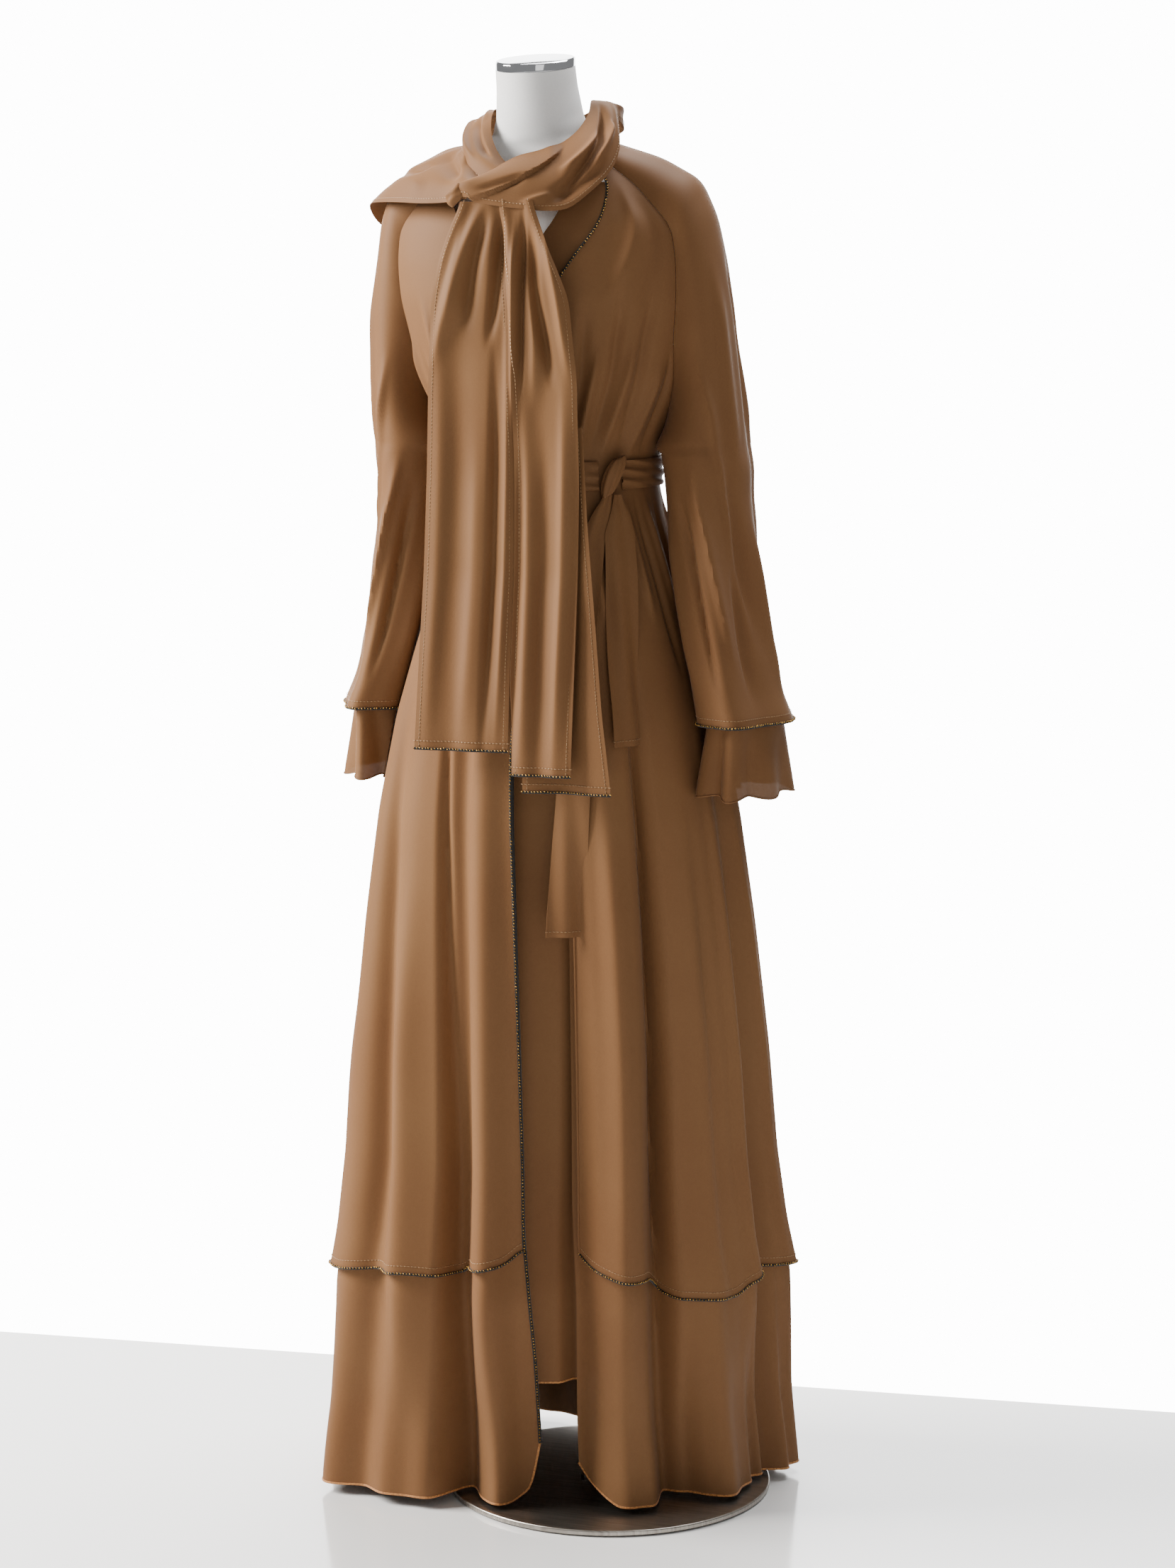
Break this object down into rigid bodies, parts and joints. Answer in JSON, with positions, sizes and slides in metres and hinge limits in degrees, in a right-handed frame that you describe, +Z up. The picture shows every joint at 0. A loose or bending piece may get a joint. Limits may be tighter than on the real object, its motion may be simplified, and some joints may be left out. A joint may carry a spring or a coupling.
{
  "type": "abaya cloak with matching scarf on a limbless dress form",
  "caption": "Long open-front abaya in two layers with raglan sleeves, flounced cuffs, tied belt and a wound matching scarf, worn by a limbless dress form on a round plate stand.",
  "frame": {"origin": "centre of the base plate's underside, on the floor", "axes": "+Z up, -Y towards the form's front, +X towards the wearer's left"},
  "size_m": [0.5172, 0.3951, 1.5368],
  "materials": {
    "chiffon": "soft satin crepe chiffon, doubled",
    "sheer_chiffon": "single sheer chiffon with an overlocked edge",
    "form_cover": "white knitted cover, matte",
    "cap_chrome": "mirror polished",
    "stand_steel": "brushed and clear lacquered"
  },
  "bodies": {
    "root": {"outer_front_right": "chiffon", "outer_front_left": "chiffon", "outer_back": "chiffon", "neck_facing": "chiffon", "underlap_panel": "chiffon", "inner_front_right": "sheer_chiffon", "inner_front_left": "sheer_chiffon", "inner_back": "sheer_chiffon", "sleeve_right": "chiffon", "sleeve_left": "chiffon", "flounce_right": "sheer_chiffon", "flounce_left": "sheer_chiffon", "belt_band": "chiffon", "belt_knot": "chiffon", "belt_tail_front": "chiffon", "belt_tail_side": "chiffon", "scarf_neck_wrap": "chiffon", "scarf_neck_back": "chiffon", "scarf_shoulder": "chiffon", "scarf_crossing": "chiffon", "scarf_fall_right": "chiffon", "scarf_fall_left": "chiffon", "scarf_fall_under": "chiffon", "form_body": "form_cover", "neck_cap": "cap_chrome", "stand_pole": "stand_steel", "stand_flange": "stand_steel", "flange_nut_1": "stand_steel", "flange_nut_2": "stand_steel", "flange_nut_3": "stand_steel", "flange_nut_4": "stand_steel", "base_plate": "stand_steel"}
  },
  "joints": []
}
